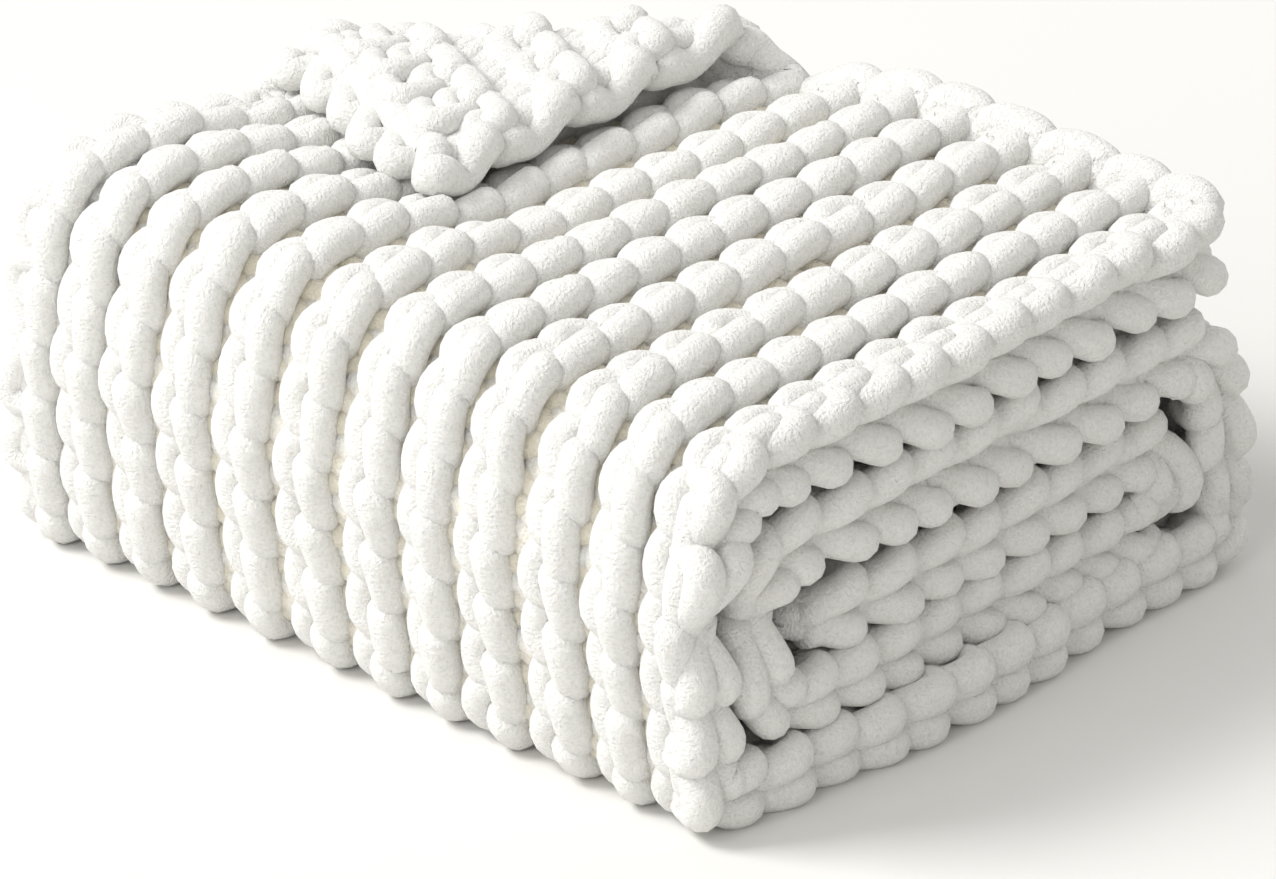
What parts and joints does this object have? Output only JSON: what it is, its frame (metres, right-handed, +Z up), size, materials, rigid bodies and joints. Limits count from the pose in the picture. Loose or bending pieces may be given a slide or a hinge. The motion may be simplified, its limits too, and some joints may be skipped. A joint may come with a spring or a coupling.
{
  "type": "folded knit blanket",
  "caption": "Chunky hand-knit chenille blanket, folded into a soft ribbed bundle with one corner turned over on top.",
  "frame": {"origin": "centre of the bundle's footprint, on the surface it rests on", "axes": "+X along the folds, towards the end that shows the layers; +Y from the rounded front fold to the back; +Z up"},
  "size_m": [0.51, 0.4506, 0.2445],
  "materials": {
    "off_white_chenille": "matte, velvety pile"
  },
  "bodies": {
    "root": {"blanket": "off_white_chenille"}
  },
  "joints": []
}
